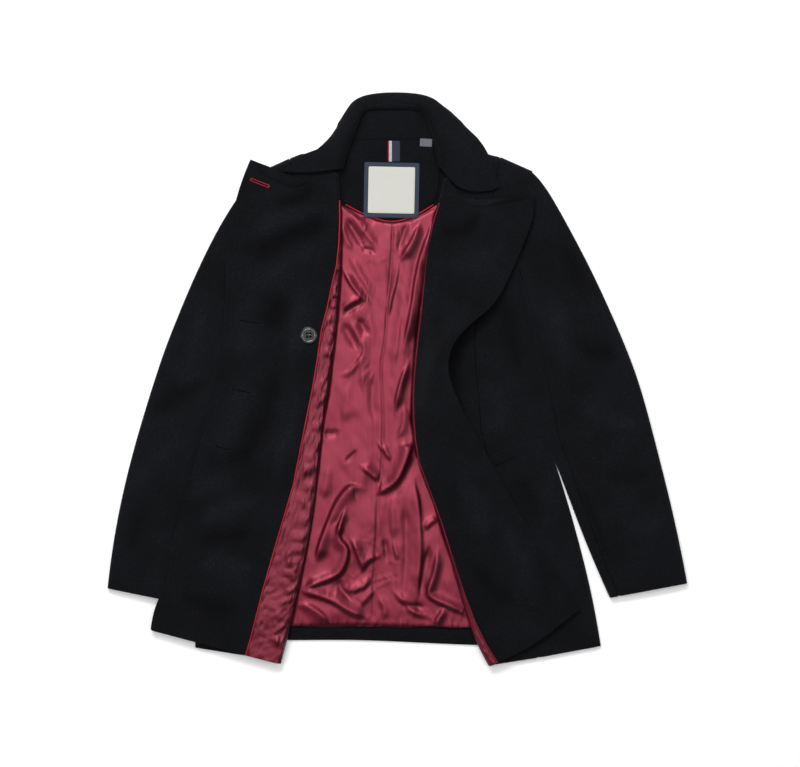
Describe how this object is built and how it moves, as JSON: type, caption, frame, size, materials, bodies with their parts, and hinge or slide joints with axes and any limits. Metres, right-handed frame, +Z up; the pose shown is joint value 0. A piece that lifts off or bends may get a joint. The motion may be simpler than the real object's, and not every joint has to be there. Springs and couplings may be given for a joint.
{
  "type": "pea coat",
  "caption": "Double-breasted wool pea coat laid open on its back, both fronts turned outwards, satin lining, folded collar and empty sleeves.",
  "frame": {"origin": "middle of the laid-out coat's bounding box, on the face it rests on", "axes": "+X towards the wearer's left, +Y towards the collar, +Z up from the surface"},
  "size_m": [0.8114, 0.8009, 0.0535],
  "materials": {
    "wool": "milled wool cloth, matt with a short nap",
    "facing_wool": "milled wool cloth, matt with a short nap",
    "lining": "crimson satin, soft sheen",
    "piping": "corded satin binding",
    "tape": "woven ribbon, navy with a red and a white stripe",
    "label": "woven label, bare",
    "label_frame": "woven label border, slate navy",
    "button": "glossy black"
  },
  "bodies": {
    "root": {"back": "wool", "back_lining": "lining", "back_hem_band": "facing_wool", "neck_facing": "facing_wool", "side_front_left": "wool", "side_front_right": "wool", "front_left": "wool", "front_right": "wool", "facing_left": "facing_wool", "facing_right": "facing_wool", "front_lining_left": "lining", "front_lining_right": "lining", "piping_left": "piping", "piping_right": "piping", "pocket_welt_left": "wool", "pocket_welt_right": "wool", "top_sleeve_left": "wool", "under_sleeve_left": "wool", "top_sleeve_right": "wool", "under_sleeve_right": "wool", "upper_collar": "wool", "under_collar": "wool", "collar_stand": "wool", "piping_neck": "piping", "label_frame": "label_frame", "label": "label", "hanger_loop": "tape", "size_label": "tape", "inner_button": "button", "front_button_1": "button", "front_button_2": "button", "front_button_3": "button"}
  },
  "joints": []
}
